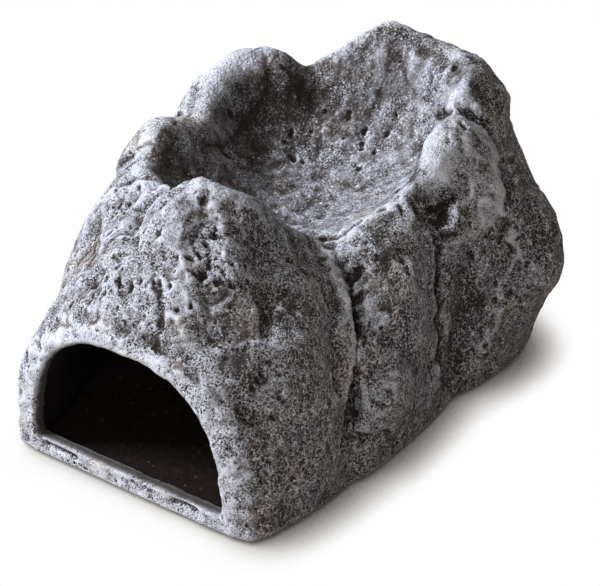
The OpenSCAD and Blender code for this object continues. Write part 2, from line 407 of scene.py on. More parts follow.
# Knob beside the basin, and the crevice behind it
KNOB = [
    (swell, [(464, 156), (478, 180)], 18, 3.5),
    (swell, [(418, 180), (430, 150)], 12, 1.5),
    (swell, [(486, 222)], 11, 2.2),
    (step, [(506, 200), (503, 183), (498, 163), (495, 148), (490, 137), (480, 126), (463, 117),
            (452, 119)], 11, -8),
    (cut, [(438, 115), (456, 112)], 3, -1.2),
]

# Shoulders against the background, raised where they stand out and lowered where they fall away
SHOULDERS = [
    (swell, [(444, 58), (462, 68), (480, 83), (493, 99)], 18, 4),
    (swell, [(190, 114), (203, 94), (220, 76)], 20, 4.5),
    (swell, [(124, 172), (132, 150), (148, 130)], 12, 2.2),
    (swell, [(545, 215), (551, 245), (549, 270)], 14, 4.5),
    (swell, [(516, 130), (527, 162)], 13, -2.8),
]

# Right mass: the ledge above, the ridge down it and its cracks
RIGHT_MASS = [
    (step, [(500, 150), (518, 153), (530, 166)], 10, -3),
    (step, [(503, 213), (512, 235), (520, 252), (523, 265), (518, 287), (512, 307)], 15, -3),
    (swell, [(532, 190), (540, 235)], 9, -2),
    (cut, [(498, 167), (503, 184)], 2.5, -3),
    (cut, [(519, 282), (518, 298)], 1.6, -1.6),
]

# Back: the valley beside its peak, the ripples down its wall and the hollow on its shoulder
BACK_WALL = [
    (swell, [(306, 62), (316, 76), (322, 95)], 11, -1.6),
    (swell, [(396, 46), (391, 80), (380, 105)], 3.5, -0.6),
    (swell, [(372, 44), (366, 76)], 3.5, -0.4),
    (swell, [(470, 75), (484, 100)], 9, -2),
]

# Edge of the pale band over the mouth, and the nicks under it
MOUTH_BAND = [
    (step, [(128, 340), (108, 328), (77, 327), (50, 332)], 7, -1.5),
    (cut, [(114, 347), (121, 349)], 2, -1.2),
    (cut, [(131, 351), (137, 356)], 2.2, -1.8),
]

FORMS = (
    FIRST_LOBE + FRONT_PEAK + RIDGE + MAIN_CLEFT + PILLAR + SECOND_CLEFT
    + KNOB + SHOULDERS + RIGHT_MASS + BACK_WALL + MOUTH_BAND
)

# Small pits, by the pixel at their middle
FRONT_PITS = [
    (120, 232), (140, 243), (158, 233), (114, 257), (117, 270), (129, 285), (145, 285), (152, 278),
    (169, 287), (138, 280), (118, 282), (209, 261), (205, 273), (230, 263), (217, 282), (128, 203),
    (118, 206), (138, 187), (115, 214), (92, 283),
]
BASIN_PITS = [(291, 134), (312, 132), (344, 138), (350, 118), (387, 134)]
RIGHT_PITS = [
    (412, 355), (500, 226), (535, 200), (532, 220), (540, 275), (518, 230), (486, 122), (493, 133),
]
PITS = FRONT_PITS + BASIN_PITS + RIGHT_PITS

# Brushing: each is a soft line along pixels of the photograph, with its width in millimetres and
# how much thicker the paint is there, or thinner below 0. Many strokes are painted light and shade:
# darker in clefts, hollows and on faces turned from the key lamp, paler on faces turned to it
# Left lobes: paint, with painted light on faces turned to the key lamp and painted shade on inner faces
LEFT_PAINT_LIGHT_AND_SHADE = [
    ([(100, 203), (115, 190), (140, 183), (153, 187)], 5, 0.1),
    ([(134, 171), (141, 150), (151, 132)], 3.5, 0.45),
    ([(176, 118), (200, 90), (228, 68)], 10, 0.3),
    ([(216, 100), (232, 80), (250, 66)], 8, 0.22),
    ([(226, 78), (240, 65), (262, 55), (285, 54)], 6, 0.16),
    ([(180, 128), (198, 148)], 6, 0.12),
    ([(122, 167), (128, 149), (141, 131)], 5, -0.3),
    ([(136, 150)], 12, -0.14),
    ([(164, 135), (168, 165)], 9, -0.16),
    ([(194, 112), (226, 84)], 14, -0.1),
    ([(95, 220), (90, 300)], 14, -0.06),
    ([(94, 235), (91, 262), (90, 296)], 4, -0.14),
]
FRONT_PAINT = [
    ([(150, 205), (170, 193), (193, 185), (212, 192)], 5, 0.1),
    ([(168, 235), (172, 250)], 6, 0.1),
    ([(186, 268), (186, 310)], 5, 0.14),
    ([(148, 285), (148, 300)], 4, 0.12),
    ([(246, 206), (252, 209)], 4, 0.14),
    ([(200, 200), (230, 235)], 14, 0.05),
    ([(188, 236), (197, 252)], 8, 0.22),
    ([(178, 250), (180, 290)], 7, 0.12),
    ([(196, 185), (216, 194), (240, 205)], 5, -0.12),
    ([(205, 198), (203, 250)], 3, -0.12),
    ([(158, 286), (162, 328)], 3, -0.12),
    ([(199, 275), (202, 330)], 5, -0.08),
    ([(172, 204), (176, 208)], 4, -0.14),
    ([(228, 292), (230, 335)], 7, -0.34),
    ([(222, 300), (236, 360), (246, 420), (250, 480)], 8, -0.12),
]
MOUTH_PAINT = [
    ([(74, 338), (100, 332)], 5, 0.18),
    ([(155, 344), (158, 350)], 6, -0.2),
    ([(130, 335), (160, 345), (185, 365)], 7, -0.14),
    ([(32, 368), (30, 428)], 5, -0.16),
]
# Flank: paint, with painted shade in its hollows
FLANK_PAINT_AND_SHADE = [
    ([(252, 292), (254, 308), (257, 327), (260, 345)], 3, 0.16),
    ([(300, 330), (285, 338)], 8, 0.06),
    ([(270, 226), (300, 246), (328, 262)], 9, 0.12),
    ([(322, 275), (325, 400)], 12, 0.05),
    ([(340, 378), (338, 402)], 6, 0.18),
    ([(352, 330), (351, 385)], 2.5, 0.06),
    ([(258, 240), (260, 262)], 8, -0.1),
    ([(266, 306), (275, 325), (290, 306)], 11, -0.4),
    ([(250, 362), (252, 380)], 8, -0.3),
    ([(260, 390), (256, 450)], 7, -0.08),
]
# Clefts and the cavity at the pillar's top: painted shade
CLEFT_PAINTED_SHADE = [
    ([(345, 270), (358, 270)], 4, -0.2),
    ([(352, 264), (366, 286)], 7, -0.25),
    ([(361, 296), (364, 329)], 3, -0.2),
    ([(370, 248), (374, 300), (374, 340)], 8, -0.24),
    ([(366, 375), (370, 430)], 6, -0.22),
    ([(350, 425), (365, 442)], 7, -0.18),
    ([(424, 203), (448, 210), (438, 220)], 6, -0.34),
    ([(452, 195), (455, 228)], 7, -0.5),
    ([(446, 235), (448, 285), (447, 345), (449, 390)], 3.5, -0.35),
    ([(460, 285), (475, 300), (465, 340)], 12, -0.28),
    ([(455, 350), (460, 395)], 10, -0.3),
]
PILLAR_PAINT = [
    ([(338, 262), (344, 246), (356, 230)], 6, 0.08),
    ([(388, 210), (414, 205)], 4, 0.16),
    ([(375, 295), (392, 320)], 8, 0.06),
    ([(402, 285), (414, 315)], 8, 0.08),
    ([(420, 250), (423, 305)], 8, 0.14),
    ([(438, 345), (432, 390)], 5, 0.08),
    ([(441, 335), (440, 385)], 4, 0.18),
    ([(378, 235), (390, 262)], 8, -0.1),
    ([(392, 218), (395, 255)], 7, -0.12),
    ([(384, 262), (392, 285)], 9, -0.16),
    ([(385, 250), (405, 330)], 14, -0.06),
    ([(402, 346), (416, 365)], 6, -0.12),
]
# Knob: paint, with painted light on its face turned from the key lamp and painted shade on its lit top
KNOB_PAINT_LIGHT_AND_SHADE = [
    ([(460, 140), (476, 185)], 16, 0.38),
    ([(432, 182), (440, 172), (448, 160)], 6, 0.45),
    ([(440, 176), (450, 186)], 6, 0.2),
    ([(451, 148), (462, 152)], 5, 0.16),
    ([(470, 228), (498, 217)], 9, 0.32),
    ([(488, 150), (494, 205)], 6, 0.2),
    ([(470, 124), (487, 142), (494, 168), (498, 200), (504, 228)], 3, 0.14),
    ([(414, 190), (418, 165), (427, 140), (440, 122)], 9, -0.2),
    ([(418, 178), (422, 160), (432, 140), (449, 124)], 8, -0.3),
    ([(444, 146), (456, 136)], 7, -0.26),
    ([(470, 150), (476, 146)], 4, -0.3),
    ([(482, 165), (478, 172)], 4, -0.3),
    ([(460, 172), (466, 180)], 4, -0.26),
    ([(474, 190), (470, 204)], 5, -0.26),
    ([(456, 158), (460, 162)], 3, -0.2),
    ([(490, 196), (488, 210)], 4, -0.2),
]
# Right mass, turned from the key lamp: painted shade
RIGHT_PAINTED_SHADE = [
    ([(470, 70), (490, 112)], 10, -0.16),
    ([(450, 62), (490, 105)], 18, -0.12),
    ([(520, 180), (540, 230), (535, 265)], 20, -0.2),
]
# Basin: paint, with painted shade on its left wall and back and painted light on its right wall
BASIN_PAINT_LIGHT_AND_SHADE = [
    ([(300, 190), (350, 160)], 25, 0.06),
    ([(250, 180), (275, 200)], 10, 0.12),
    ([(380, 165), (398, 150)], 9, 0.16),
    ([(414, 92), (420, 108)], 8, 0.14),
    ([(428, 108), (436, 60)], 6, 0.08),
    ([(246, 122), (270, 98), (300, 88)], 16, -0.18),
    ([(240, 152), (280, 140), (312, 105)], 15, -0.12),
    ([(328, 62), (345, 85), (345, 125)], 12, -0.18),
    ([(428, 44), (440, 58)], 8, -0.26),
    ([(426, 50), (416, 36), (400, 30), (380, 32)], 7, -0.22),
]
ALL_STROKES_LIGHT_AND_SHADE = (
    LEFT_PAINT_LIGHT_AND_SHADE + FRONT_PAINT + MOUTH_PAINT + FLANK_PAINT_AND_SHADE + CLEFT_PAINTED_SHADE
    + PILLAR_PAINT + KNOB_PAINT_LIGHT_AND_SHADE + RIGHT_PAINTED_SHADE + BASIN_PAINT_LIGHT_AND_SHADE
)

# Zones of the skin: places in millimetres, turns as a part of the normal, and pairs that run from
# where a zone starts to where it ends or is full
CAVE_AXIS_Z = 22
CAVE_TOP_Z = 68
CAVE_DEPTH = (4, 7)
LIP_DEPTH = (0.3, 1.2)
OUTER_BACK_Y = 30
OUTER_BACK_TURN = 0.2
UNDER_TALL = 8
UNDER_TURN = -0.5
BASIN_MIDDLE = np.array([-3.3, 9.4])
BASIN_LOW_Z = 70
BASIN_TURN = (-0.1, 0.3)
RIM_DEPTH = (3, 9)
FOOT_TALL = 2.5
LEAST_REACH = 1
ZONE_ROUNDS = 3
BASIN_ROUNDS = 40
MOUTH_SHARE = (0.02, 0.3)
MOUTH_ROUNDS = 25
BAND_SHARE = (0.0, 0.2)
BAND_ROUNDS = 150


def rock_zones(skin):
    """Where the skin is cave, lip, underside, rim, basin, mouth edge, band and outside, from 0 to 1."""
    points = skin.points
    normals = skin.normals()
    from_axis = points[:, [0, 2]] - [MOUTH_X, CAVE_AXIS_Z]
    turned_in = (from_axis * normals[:, [0, 2]]).sum(axis=1) < 0
    under_basin = points[:, 2] < CAVE_TOP_Z
    in_plan = (points[:, 0] > PLATE_LOW[0]) & (points[:, 0] < PLATE_HIGH[0])
    outer_back = (points[:, 1] > OUTER_BACK_Y) & (normals[:, 1] > OUTER_BACK_TURN)
    within = (turned_in & under_basin & in_plan & ~outer_back).astype(float)
    behind_face = points[:, 1] - FACE_Y
    cave = within * smoothstep(*CAVE_DEPTH, behind_face)
    lip = within * smoothstep(*LIP_DEPTH, behind_face) - cave
    under = ((normals[:, 2] < UNDER_TURN) & (points[:, 2] < FOOT_Z + UNDER_TALL)).astype(float)
    radial = points[:, :2] - BASIN_MIDDLE
    reach = np.linalg.norm(radial, axis=1)
    outward = (radial * normals[:, :2]).sum(axis=1) / np.maximum(reach, LEAST_REACH)
    basin = (points[:, 2] > BASIN_LOW_Z) * (1 - smoothstep(*BASIN_TURN, outward)) * (1 - within)
    rim = (1 - smoothstep(*RIM_DEPTH, behind_face)) * (1 - within)
    fields = {"cave": cave, "lip": np.clip(lip, 0, 1), "under": under, "rim": rim}
    zones = {name: skin.blur(field, ZONE_ROUNDS) for name, field in fields.items()}
    zones["basin"] = skin.blur(basin, BASIN_ROUNDS)
    opening = zones["cave"] + zones["lip"]
    zones["mouth"] = smoothstep(*MOUTH_SHARE, skin.blur(opening, MOUTH_ROUNDS))
    zones["band"] = smoothstep(*BAND_SHARE, skin.blur(opening, BAND_ROUNDS)) * zones["rim"]
    inside = np.maximum.reduce([zones["cave"], zones["lip"], zones["under"]])
    above_foot = smoothstep(0, FOOT_TALL, points[:, 2] - FOOT_Z)
    zones["outside"] = (1 - inside) * above_foot * (1 - zones["mouth"])
    return zones


def neighbours(skin):
    """A tree that finds the points near a place."""
    tree = KDTree(len(skin.points))
    for i, p in enumerate(skin.points):
        tree.insert(Vector(p), i)
    tree.balance()
    return tree


# Chips: how many, and how far each reaches in millimetres, tilts, cuts and fades
CHIP_COUNT = 420
CHIP_REACH = (5, 11)
CHIP_TILT = 0.1
CHIP_LEVEL = 0.45
CHIP_SHARE = 0.9
CHIP_FADE = 0.75
CHIP_ROUNDS = 30


def chip(skin, share):
    """Shave the lumps off flat, in many small facets."""
    draw = np.random.default_rng(SEED)
    tree = neighbours(skin)
    chosen = draw.choice(len(skin.points), CHIP_COUNT, replace=False, p=share / share.sum())
    smooth = skin.blur(skin.normals(), CHIP_ROUNDS)
    for i in chosen:
        reach = draw.uniform(*CHIP_REACH)
        tilt = smooth[i] + draw.normal(0, CHIP_TILT, 3)
        tilt = tilt / np.linalg.norm(tilt)
        found = tree.find_range(Vector(skin.points[i]), reach)
        index = np.array([j for _, j, _ in found], int)
        above = (skin.points[index] - skin.points[i]) @ tilt
        fade = 1 - smoothstep(CHIP_FADE * reach, reach, np.array([far for _, _, far in found]))
        drop = np.maximum(0, above - np.quantile(above, CHIP_LEVEL)) * fade * share[index]
        skin.points[index] -= CHIP_SHARE * drop[:, None] * tilt


# Pits: how many are spread, their sizes in millimetres, with the length in widths, the way they
# hang, and their walls as shares of their reach
PIT_COUNT = 260
PIT_WIDTH = (0.9, 1.6)
PIT_LENGTH = (1.0, 2.4)
PIT_DEPTH = (0.6, 1.5)
PIT_HANG = np.array([0.1, 0.1, -1])
PIT_FRAY = 0.6
PIT_MARGIN = 1.3
PIT_WALL = (0.4, 1)


def pits(skin, density):
    """Depth of the placed pits and of many smaller ones, more where the density is higher."""
    draw = np.random.default_rng(SEED)
    normals = skin.normals()
    tree = neighbours(skin)
    placed = [tree.find(skin.at_pixel(*pixel))[1] for pixel in PITS]
    spread = draw.choice(len(skin.points), PIT_COUNT, replace=False, p=density / density.sum())
    ragged = PIT_FRAY * skin.cloud(size=2.5, octaves=2, shift=31)
    height = np.zeros(len(skin.points))
    for i in placed + list(spread):
        width = draw.uniform(*PIT_WIDTH)
        length = width * draw.uniform(*PIT_LENGTH)
        depth = draw.uniform(*PIT_DEPTH)
        normal = normals[i]
        down = PIT_HANG + normal * normal[2]
        down = down / np.linalg.norm(down)
        found = tree.find_range(Vector(skin.points[i]), PIT_MARGIN * length)
        index = np.array([j for _, j, _ in found], int)
        offset = skin.points[index] - skin.points[i]
        across = offset @ np.cross(normal, down) / width
        reach = np.sqrt((offset @ down / length) ** 2 + across ** 2) + ragged[index]
        height[index] = np.minimum(height[index], -depth * (1 - smoothstep(*PIT_WALL, reach)))
    return height


# Relief of the rock: heights in millimetres, and shares by which the rim and the basin are calmer
LUMP_HEIGHT = 1.4
CRAG_LEAST = 0.2
CRAG_MORE = 0.5
RIPPLE_HEIGHT = 0.75
RIM_HEIGHT = 0.9
MOUTH_HEIGHT = 0.45
GRAIN_HEIGHT = 0.6
GRAIN_LEAST = 0.3
GRAIN_MORE = 0.5
RIM_CALM = 0.7
BASIN_CALM = 0.7
CRAGS_CALM = 0.8
CRAGGY_FROM = (-0.3, 0.4)
PITTED_FROM = (0, 0.5)
SOFTEN_ROUNDS = 6
UPRIGHT = (1, 1, 1.4)
HANGING = (1, 1, 2.5)


def shape_rock(skin, zones):
    """Raise the masses, cut the clefts and roughen the skin. Gives the pits, below 0."""
    basin, rim, mouth, outside = (zones[name] for name in ("basin", "rim", "mouth", "outside"))
    face = outside * (1 - RIM_CALM * rim)
    craggy = smoothstep(*CRAGGY_FROM, skin.cloud(size=25, octaves=2, shift=12))
    craggy = craggy * (1 - CRAGS_CALM * basin)
    lumps = LUMP_HEIGHT * skin.lobes(size=30, octaves=2, shift=2) * (1 - BASIN_CALM * basin)
    skin.raise_by((lumps + marks(skin, FORMS)) * face)
    bulges = skin.lobes(size=9, octaves=3, stretch=UPRIGHT, shift=3)
    crags = bulges - skin.lobes(size=7, octaves=2, stretch=UPRIGHT, shift=8)
    skin.raise_by((CRAG_LEAST + CRAG_MORE * craggy) * crags * face)
    chip(skin, face * (1 - basin))
    ripples = skin.cloud(size=7, octaves=3, stretch=HANGING, shift=60)
    skin.raise_by(RIPPLE_HEIGHT * ripples * basin * face)
    skin.raise_by(RIM_HEIGHT * skin.cloud(size=6, octaves=3, shift=40) * rim * outside)
    skin.points += mouth[:, None] * (skin.blur(skin.points, SOFTEN_ROUNDS) - skin.points)
    waves = skin.cloud(size=9, octaves=3, shift=70)
    skin.raise_by(MOUTH_HEIGHT * waves * mouth * (1 - zones["under"]))
    pitted = smoothstep(*PITTED_FROM, skin.cloud(size=20, octaves=2, shift=9))
    sunk = pits(skin, face * (1 - BASIN_CALM * basin) * pitted + TINY) * face
    skin.raise_by(sunk)
    grain = skin.cloud(size=4, octaves=3, stretch=UPRIGHT, shift=5)
    skin.raise_by((GRAIN_LEAST + GRAIN_MORE * craggy) * GRAIN_HEIGHT * grain * face)
    return sunk


# Fields that the paint reads: what pits add to the coat, the painted shade on the basin's left wall and
# the painted light on its right wall, and what turn or height is full shade, hollow or edge
# Pits are darker: the base coat left in them, and painted shade
SUNK_COAT_AND_SHADE = 0.25
LEFT_WALL_PAINTED_SHADE = -0.15
LEFT_WALL_TURN = (0.05, 0.5)
RIGHT_WALL_PAINTED_LIGHT = 0.14
RIGHT_WALL_TURN = (0.0, 0.4)
# Side turned from the key lamp, where the paint is made thinner: painted shade
SHADE_SIDE = np.array([0.9, 0.4, 0.0])
SHADE_TURN = (0.15, 0.6)
SHADE_ROUNDS = 20
HOLLOW_DEEP = 0.35
HOLLOW_ROUNDS = 5
EDGE_TALL = 0.9
EDGE_ROUNDS = 30
EDGE_SOFT_ROUNDS = 2


def store_fields(skin, zones, brushing_light_and_shade, sunk):
    """Keep in the mesh what the paint reads."""
    basin = zones["basin"]
    normals = skin.normals()
    left_wall = basin * smoothstep(*LEFT_WALL_TURN, normals[:, 0])
    right_wall = basin * smoothstep(*RIGHT_WALL_TURN, -normals[:, 0])
    # The basin's left wall gets painted shade and its right wall painted light
    wall_light_and_shade = LEFT_WALL_PAINTED_SHADE * left_wall + RIGHT_WALL_PAINTED_LIGHT * right_wall
    skin.store("coat", brushing_light_and_shade + SUNK_COAT_AND_SHADE * sunk + wall_light_and_shade)
    turned = skin.blur(normals, SHADE_ROUNDS) @ SHADE_SIDE
    skin.store("shade", smoothstep(*SHADE_TURN, turned) * (1 - basin))
    skin.store("hollow", np.clip(skin.hollow(HOLLOW_ROUNDS) / HOLLOW_DEEP, -1, 1))
    standing = -skin.blur(skin.hollow(EDGE_ROUNDS), EDGE_SOFT_ROUNDS)
    skin.store("edge", np.clip(standing / EDGE_TALL, -1, 1))
    for name in ("cave", "lip", "under", "basin", "band"):
        skin.store(name, zones[name])


def sculpt_rock():
    """The rock's mesh, with its masses, clefts, pits and grain, and the fields its paint reads."""
    skin = Skin(fine_copy("rock_shell", VOXEL, FACET_ROUNDS))
    zones = rock_zones(skin)
    skin.work_on(np.maximum(zones["outside"], zones["mouth"]))
    brushing_light_and_shade = marks(skin, [(brush, *line) for line in ALL_STROKES_LIGHT_AND_SHADE])
    sunk = shape_rock(skin, zones)
    store_fields(skin, zones, brushing_light_and_shade, sunk)
    skin.write()
    triangles = sum(len(polygon.vertices) - 2 for polygon in skin.mesh.polygons)
    return modified(skin.mesh, ("DECIMATE", {"ratio": MOST_TRIANGLES / triangles}))


class Wire:
    """A node's output, on which sums and products add further nodes."""

    def __init__(self, nodes, socket):
        self.nodes = nodes
        self.socket = socket

    def __add__(self, other):
        return self.nodes.math("ADD", self, other)

    def __sub__(self, other):
        return self.nodes.math("SUBTRACT", self, other)

    def __mul__(self, other):
        return self.nodes.math("MULTIPLY", self, other)

    def __rsub__(self, other):
        return self.nodes.math("SUBTRACT", other, self)

    def __abs__(self):
        return self.nodes.math("ABSOLUTE", self, 0.0)

    __radd__ = __add__
    __rmul__ = __mul__


# The mix node's colour sockets, whose names it uses more than once
MIX_SHARE = 0
MIX_FIRST = 6
MIX_SECOND = 7
MIX_RESULT = 2
NOISE_MIDDLE = 0.5


class Nodes:
    """The nodes of a material or a world."""

    def __init__(self, owner):
        owner.use_nodes = True
        self.tree = owner.node_tree

    def node(self, kind, inputs=None, **settings):
        """A new shader node with its settings made and its inputs fed."""
        made = self.tree.nodes.new("ShaderNode" + kind)
        for name, value in settings.items():
            setattr(made, name, value)
        for name, value in (inputs or {}).items():
            self.feed(made.inputs[name], value)
        return made

    def feed(self, socket, value):
        """Link a wire or another node's socket to a socket, or set a plain value on it."""
        if isinstance(value, Wire):
            value = value.socket
        if isinstance(value, bpy.types.NodeSocket):
            self.tree.links.new(value, socket)
        else:
            socket.default_value = value

    def math(self, operation, a, b):
        made = self.node("Math", {0: a, 1: b}, operation=operation)
        return Wire(self, made.outputs[0])

    def vector(self, operation, a, b):
        return self.node("VectorMath", {0: a, 1: b}, operation=operation).outputs[0]

    def show(self, output, lit, shown):
        """Give an output one shader for the light and another for the eye, also in mirrors."""
        rays = self.node("LightPath").outputs
        mirrored = self.math("MAXIMUM", rays["Is Glossy Ray"], rays["Is Transmission Ray"])
        seen = self.math("MAXIMUM", rays["Is Camera Ray"], mirrored)
        inputs = {0: seen, 1: lit.outputs[0], 2: shown.outputs[0]}
        mixed = self.node("MixShader", inputs)
        self.feed(self.tree.nodes[output].inputs["Surface"], mixed.outputs[0])


class Finish(Nodes):
    """A node material on a piece's own coordinates, in millimetres."""

    def __init__(self, name):
        self.material = bpy.data.materials.new(name)
        super().__init__(self.material)
        self.surface = self.tree.nodes["Principled BSDF"]
        place = self.node("TexCoord").outputs["Object"]
        self.place = self.vector("MULTIPLY", place, (1 / MM,) * 3)

    def field(self, name):
        """One of the fields stored on the mesh."""
        return Wire(self, self.node("Attribute", attribute_name=name).outputs["Fac"])

    def weighed(self, base, **weights):
        """A base plus some fields of the mesh, each by its weight."""
        total = base
        for name, weight in weights.items():
            total = total + weight * self.field(name)
        return total

    def noise(self, size, detail, roughness, stretch, shift):
        inputs = {
            "Vector": self.vector("DIVIDE", self.place, stretch),
            "W": shift,
            "Scale": 1 / size,
            "Detail": detail,
            "Roughness": roughness,
        }
        return self.node("TexNoise", inputs, noise_dimensions="4D")

    def cloud(self, size, detail, roughness=0.55, stretch=EVEN, shift=0):
        """Noise with features of a size, from about -0.5 to 0.5."""
        made = self.noise(size, detail, roughness, stretch, shift)
        return Wire(self, made.outputs[0]) - NOISE_MIDDLE

    def veins(self, size, width, detail, stretch=EVEN, shift=0):
        """Wandering lines, 1 at their middle and 0 away from them."""
        return self.between(abs(self.cloud(size, detail, stretch=stretch, shift=shift)), width, 0)

    def cells(self, size, ragged, stretch=EVEN, shift=0):
        """Distance from the nearest of many scattered points, and that point's own number."""
        push = self.noise(size=0.8 * size, detail=2, roughness=0.6, stretch=EVEN, shift=shift)
        push = self.vector("SUBTRACT", push.outputs["Color"], (NOISE_MIDDLE,) * 3)
        push = self.vector("MULTIPLY", push, (ragged,) * 3)
        place = self.vector("DIVIDE", self.vector("ADD", self.place, push), stretch)
        made = self.node("TexVoronoi", {"Vector": place, "Scale": 1 / size})
        number = self.node("SeparateColor", {0: made.outputs["Color"]}).outputs[0]
        return Wire(self, made.outputs["Distance"]), Wire(self, number)

    def between(self, value, low, high, start=0.0, end=1.0):
        """A smooth step from start to end as the value goes from low to high."""
        inputs = {"Value": value, "From Min": low, "From Max": high, "To Min": start, "To Max": end}
        made = self.node("MapRange", inputs, interpolation_type="SMOOTHSTEP")
        return Wire(self, made.outputs[0])

    def split(self, value, half, start=0.0, end=1.0):
        """A smooth step about 0, over a half width on each side of it."""
        return self.between(value, -half, half, start, end)

    def blend(self, share, a, b):
        """A colour between two others."""
        inputs = {MIX_SHARE: share, MIX_FIRST: a, MIX_SECOND: b}
        return self.node("Mix", inputs, data_type="RGBA").outputs[MIX_RESULT]

    def ramp(self, value, stops):
        """A colour from a list of levels, each with its colour."""
        made = self.node("ValToRGB", {0: value})
        elements = made.color_ramp.elements
        while len(elements) < len(stops):
            elements.new(1)
        for element, (level, colour) in zip(elements, stops):
            element.position = level
            element.color = colour
        return made.outputs[0]

    def done(self, colour, roughness, gloss, height=None):
        """The material, with its colour, roughness, gloss and any relief, in millimetres."""
        self.feed(self.surface.inputs["Base Color"], colour)
        if height is not None:
            bump = self.node("Bump", {"Height": height, "Distance": MM, "Strength": 1.0})
            self.feed(self.surface.inputs["Normal"], bump.outputs[0])
        self.feed(self.surface.inputs["Roughness"], roughness)
        self.surface.inputs["Specular IOR Level"].default_value = gloss
        return self.material


# Paint, from bare base coat to thick dry brushing, with a cool brushing and a warm one
COOL_COATS = [
    (0.00, (0.014, 0.010, 0.008, 1)),
    (0.28, (0.078, 0.066, 0.062, 1)),
    (0.48, (0.200, 0.198, 0.212, 1)),
    (0.70, (0.385, 0.400, 0.455, 1)),
    (1.00, (0.715, 0.745, 0.820, 1)),
]
WARM_COATS = [
    (0.00, (0.018, 0.012, 0.009, 1)),
    (0.28, (0.088, 0.069, 0.060, 1)),
    (0.48, (0.222, 0.200, 0.190, 1)),
    (0.70, (0.425, 0.408, 0.398, 1)),
    (1.00, (0.760, 0.750, 0.745, 1)),
]
# Inside the mouth: the lip's coat and the cave's near-black coat, both darkened with painted shade
LIP_COAT_AND_SHADE = (0.056, 0.048, 0.043, 1)
CAVE_COAT_AND_SHADE = (0.009, 0.0055, 0.0045, 1)
CAVE_WORN = (0.018, 0.013, 0.011, 1)
CAVE_DUST = (0.06, 0.048, 0.04, 1)

# Bare cast resin, cured adhesive and closed-cell foam, each from its darkest to its palest
CAST_DARK = (0.075, 0.066, 0.060, 1)
CAST_PALE = (0.135, 0.124, 0.116, 1)
GLUE_DARK = (0.42, 0.385, 0.33, 1)
GLUE_PALE = (0.56, 0.53, 0.48, 1)
FOAM_DARK = (0.018, 0.018, 0.019, 1)
FOAM_PALE = (0.055, 0.055, 0.058, 1)
FOAM_DUST = (0.12, 0.115, 0.11, 1)

# Stretches of the paint's features, which are longer upright
LONG_GRAIN = (1, 1, 1.3)
LONG_PIT = (1, 1, 1.5)

# Amounts in the rock's paint
RELIEF_IN_BRUSHING = 0.2
CLOSE_VEINS = 0.75
LEAST_VEINS = 0.4
PATCH_LEVEL = 0.10
PATCH_LINES = 0.3
PATCH_CALM = 0.6
PATCH_WARMTH = 0.12
RIM_PITS = 0.2
BEAD_LEVEL = 0.2
PAINTED_GLINT_LEVEL = 0.6

# Relief that the finishes add, in millimetres
GRAIN_BUMP = 0.4
VEIN_BUMP = 0.35
PIT_BUMP = 0.5
BEAD_BUMP = 0.4
MOTTLE_BUMP = 0.8
CAST_GRAIN = 0.5
DUST_BUMP = 0.2
HOLE_BUMP = 0.4
RIPPLE_BUMP = 0.4
BUBBLE_BUMP = 0.2
CELL_BUMP = 0.12

# Amounts in the other finishes
GRAIN_IN_SWIRL = 0.4
DUST_SHARE = 0.5


def brushed_veins(f):
    """Thin wandering lines, loose ones in places and close ones everywhere."""
    somewhere = f.split(f.cloud(size=6, detail=3, shift=15), half=0.08)
    loose = f.veins(size=2.5, width=0.028, detail=1, stretch=LONG_GRAIN, shift=4) * somewhere
    close = f.veins(size=1.8, width=0.035, detail=2, shift=9)
    return f.math("MAXIMUM", loose, CLOSE_VEINS * close)


def painted_pits(f):
    """Small pits in crowds, none of them in the basin."""
    hole, number = f.cells(size=1.9, ragged=1.6, stretch=LONG_PIT, shift=2)
    crowd = f.between(f.cloud(size=13, detail=2, shift=11), low=-0.05, high=0.15, start=0.04, end=0.6)
    chosen = f.between(crowd + RIM_PITS * f.field("band") - number, low=0, high=0.04)
    return f.between(hole, low=0.4, high=0.25) * chosen * f.weighed(1, basin=-1)


def basin_beads(f):
    """Grains in the basin, and a painted glint that makes some of them paler."""
    bead, number = f.cells(size=1.5, ragged=0.7, shift=14)
    somewhere = f.between(f.cloud(size=12, detail=2, shift=41), low=-0.1, high=0.12)
    painted_glint = f.between(number, low=0.7, high=1.0) * somewhere
    return f.between(bead, low=0.6, high=0.1) * f.field("basin"), painted_glint


